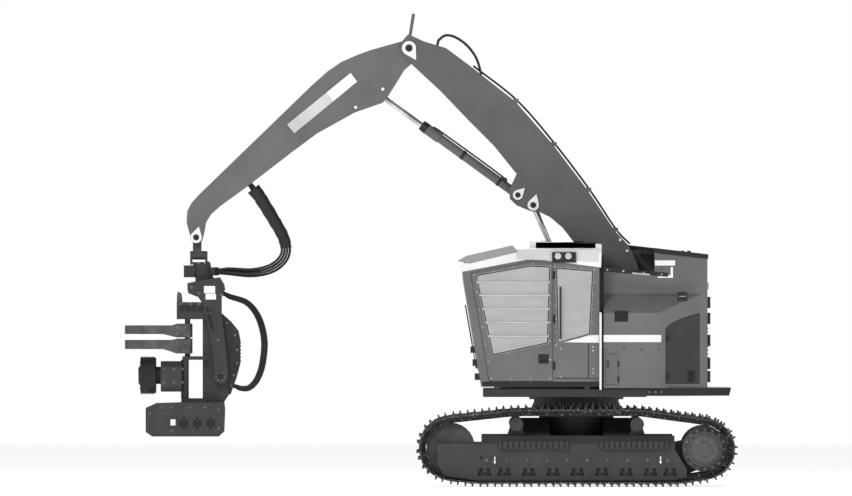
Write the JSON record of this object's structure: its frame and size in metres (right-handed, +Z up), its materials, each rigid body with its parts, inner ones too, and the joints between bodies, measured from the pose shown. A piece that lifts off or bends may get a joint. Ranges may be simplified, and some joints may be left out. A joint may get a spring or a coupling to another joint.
{
  "type": "forestry harvester",
  "caption": "Tracked forestry harvester: slewing cab and engine house on crawler tracks, knuckled arm with cylinders, and a hanging head with knives, feed rollers and saw.",
  "frame": {"origin": "On the ground, at the middle of the overall box, the machine parked on its tracks", "axes": "+Z up, the arm and head reach towards -X, the cab is on the -Y side"},
  "size_m": [9.1664, 3.21, 7.0824],
  "materials": {
    "arm_paint": "satin dark grey paint",
    "panel_paint": "satin mid grey paint",
    "dark_paint": "matt dark grey paint",
    "frame_paint": "matt dark grey paint, dusty",
    "white_paint": "satin pale grey paint",
    "black_paint": "matt black paint",
    "head_paint": "satin grey paint, worn",
    "track_steel": "rolled steel, worn at the grousers",
    "knife_steel": "ground steel",
    "rod_chrome": "hard chrome",
    "cast_iron": "bare cast iron",
    "window": "clear polycarbonate",
    "seat_fabric": "woven seat fabric",
    "trim_plastic": "moulded grained plastic",
    "hose_rubber": "black hose rubber",
    "white_trim": "white paint",
    "lamp_lens": "clear lens"
  },
  "bodies": {
    "undercarriage": {"carbody": "frame_paint", "track_frame_left": "frame_paint", "track_frame_right": "frame_paint", "track_left": "track_steel", "track_right": "track_steel", "idler_left": "cast_iron", "idler_right": "cast_iron", "final_drive_left": "frame_paint", "final_drive_right": "frame_paint"},
    "upper": {"main_frame": "dark_paint", "rear_deck": "black_paint", "side_tank": "panel_paint", "engine_enclosure": "panel_paint", "hood": "black_paint", "engine_block": "cast_iron", "cab_shell": "panel_paint", "cab_roof": "white_paint", "windscreen": "window", "left_rear_window": "window", "right_window": "window", "operator_seat": "seat_fabric", "armrest_consoles": "trim_plastic"},
    "cab_door": {"cab_door": "panel_paint", "cab_door_window": "window"},
    "service_door": {"service_door": "panel_paint"},
    "corner_door_left": {"corner_door_left": "dark_paint"},
    "corner_door_right": {"corner_door_right": "dark_paint"},
    "rear_door": {"rear_door": "panel_paint"},
    "boom": {"boom": "arm_paint", "joint_hoses": "hose_rubber"},
    "boom_barrel": {"boom_cylinder_barrel": "arm_paint"},
    "boom_rod": {"boom_cylinder_rod": "rod_chrome"},
    "stick": {"stick": "arm_paint"},
    "stick_barrel": {"stick_cylinder_barrel": "arm_paint"},
    "stick_rod": {"stick_cylinder_rod": "rod_chrome"},
    "link": {"hanger_link": "frame_paint", "head_hoses": "hose_rubber"},
    "rotator": {"rotator_housing": "dark_paint"},
    "tilt_frame": {"tilt_frame": "dark_paint", "loop_hoses": "hose_rubber"},
    "head": {"head_chassis": "head_paint", "head_cover": "dark_paint", "top_knife": "knife_steel", "saw_box": "head_paint"},
    "upper_knife_left": {"upper_knife_left": "knife_steel"},
    "upper_knife_right": {"upper_knife_right": "knife_steel"},
    "lower_knife_left": {"lower_knife_left": "knife_steel"},
    "lower_knife_right": {"lower_knife_right": "knife_steel"},
    "roller_arm_left": {"roller_arm_left": "head_paint"},
    "roller_arm_right": {"roller_arm_right": "head_paint"},
    "feed_roller_left": {"feed_roller_left": "cast_iron"},
    "feed_roller_right": {"feed_roller_right": "cast_iron"},
    "saw_bar": {"saw_bar": "knife_steel"}
  },
  "joints": [
    {"name": "swing", "type": "hinge", "parent": "undercarriage", "child": "upper", "pos_m": [2.1845, 0, 1.3], "axis": [0, 0, 1], "continuous": true},
    {"name": "boom_lift", "type": "hinge", "parent": "upper", "child": "boom", "pos_m": [2.9045, 0, 2.4], "axis": [0, -1, 0], "range_deg": [-20, 30]},
    {"name": "boom_cylinder_swing", "type": "hinge", "parent": "upper", "child": "boom_barrel", "pos_m": [2.405, 0, 2.187], "axis": [0, -1, 0], "range_deg": [-21.2, 31.54]},
    {"name": "boom_rod_slide", "type": "slide", "parent": "boom_barrel", "child": "boom_rod", "axis": [-0.394, 0, 0.9191], "range_m": [-0.2797, 0.1875]},
    {"name": "stick_swing", "type": "hinge", "parent": "boom", "child": "stick", "pos_m": [-0.32552, 0, 6.56412], "axis": [0, 1, 0], "range_deg": [-39, 34]},
    {"name": "stick_cylinder_swing", "type": "hinge", "parent": "boom", "child": "stick_barrel", "pos_m": [1.30644, 0, 4.36232], "axis": [0, -1, 0], "range_deg": [-1.85, 1.68]},
    {"name": "stick_rod_slide", "type": "slide", "parent": "stick_barrel", "child": "stick_rod", "axis": [-0.8086, 0, 0.5884], "range_m": [-0.535, 0.4668]},
    {"name": "link_swing", "type": "hinge", "parent": "stick", "child": "link", "pos_m": [-3.51664, 0, 3.72692], "axis": [0, -1, 0], "range_deg": [-40, 40], "deforming": ["head_hoses"]},
    {"name": "cross_swing", "type": "hinge", "parent": "link", "child": "rotator", "pos_m": [-3.47764, 0, 3.45692], "axis": [1, 0, 0], "range_deg": [-30, 30], "deforming": ["head_hoses"]},
    {"name": "rotator_turn", "type": "hinge", "parent": "rotator", "child": "tilt_frame", "pos_m": [-3.39265, 0, 3.09974], "axis": [-0.1908, 0, 0.9816], "range_deg": [-90, 90]},
    {"name": "head_tilt", "type": "hinge", "parent": "tilt_frame", "child": "head", "pos_m": [-3.15064, 0, 1.64192], "axis": [0, -1, 0], "range_deg": [0, 90], "deforming": ["loop_hoses"]},
    {"name": "upper_knife_left_swing", "type": "hinge", "parent": "head", "child": "upper_knife_left", "pos_m": [-3.64664, -0.26, 2.22692], "axis": [0, 0, 1], "range_deg": [-8, 35]},
    {"name": "upper_knife_right_swing", "type": "hinge", "parent": "head", "child": "upper_knife_right", "pos_m": [-3.64664, 0.26, 2.22692], "axis": [0, 0, 1], "range_deg": [-35, 8]},
    {"name": "lower_knife_left_swing", "type": "hinge", "parent": "head", "child": "lower_knife_left", "pos_m": [-3.64664, -0.26, 1.98692], "axis": [0, 0, 1], "range_deg": [-8, 35]},
    {"name": "lower_knife_right_swing", "type": "hinge", "parent": "head", "child": "lower_knife_right", "pos_m": [-3.64664, 0.26, 1.98692], "axis": [0, 0, 1], "range_deg": [-35, 8]},
    {"name": "roller_arm_left_swing", "type": "hinge", "parent": "head", "child": "roller_arm_left", "pos_m": [-3.68614, -0.33, 1.64192], "axis": [0, 0, 1], "range_deg": [-4, 20]},
    {"name": "roller_arm_right_swing", "type": "hinge", "parent": "head", "child": "roller_arm_right", "pos_m": [-3.68614, 0.33, 1.64192], "axis": [0, 0, 1], "range_deg": [-20, 4]},
    {"name": "feed_roller_left_turn", "type": "hinge", "parent": "roller_arm_left", "child": "feed_roller_left", "pos_m": [-4.04164, -0.4, 1.65642], "axis": [1, 0, 0], "continuous": true},
    {"name": "feed_roller_right_turn", "type": "hinge", "parent": "roller_arm_right", "child": "feed_roller_right", "pos_m": [-4.04164, 0.4, 1.65642], "axis": [1, 0, 0], "continuous": true},
    {"name": "saw_swing", "type": "hinge", "parent": "head", "child": "saw_bar", "pos_m": [-3.40064, -0.42, 0.79192], "axis": [0, 0, -1], "range_deg": [0, 75]},
    {"name": "cab_door_swing", "type": "hinge", "parent": "upper", "child": "cab_door", "pos_m": [0.729, -1.5, 2.3865], "axis": [0.1682, 0, -0.9857], "range_deg": [0, 80]},
    {"name": "service_door_swing", "type": "hinge", "parent": "upper", "child": "service_door", "pos_m": [2.801, -1.5, 1.76], "axis": [0, 0, 1], "range_deg": [0, 100]},
    {"name": "corner_door_left_swing", "type": "hinge", "parent": "upper", "child": "corner_door_left", "pos_m": [3.50301, -1.44658, 2], "axis": [0, 0, -1], "range_deg": [0, 100]},
    {"name": "corner_door_right_swing", "type": "hinge", "parent": "upper", "child": "corner_door_right", "pos_m": [3.50301, 1.44658, 2], "axis": [0, 0, 1], "range_deg": [0, 100]},
    {"name": "rear_door_swing", "type": "hinge", "parent": "upper", "child": "rear_door", "pos_m": [4.136, -0.8, 2.2], "axis": [0, 0, -1], "range_deg": [0, 100]}
  ],
  "couplings": [
    {"joint": "boom_cylinder_swing", "follows": "boom_lift", "ratio": 1.0347},
    {"joint": "boom_rod_slide", "follows": "boom_lift", "m_per_rad": -0.52851},
    {"joint": "stick_cylinder_swing", "follows": "stick_swing", "ratio": 0.0347},
    {"joint": "stick_rod_slide", "follows": "stick_swing", "m_per_rad": 0.7815},
    {"joint": "upper_knife_right_swing", "follows": "upper_knife_left_swing", "ratio": -1},
    {"joint": "lower_knife_right_swing", "follows": "lower_knife_left_swing", "ratio": -1},
    {"joint": "roller_arm_right_swing", "follows": "roller_arm_left_swing", "ratio": -1},
    {"joint": "feed_roller_right_turn", "follows": "feed_roller_left_turn", "ratio": -1}
  ]
}
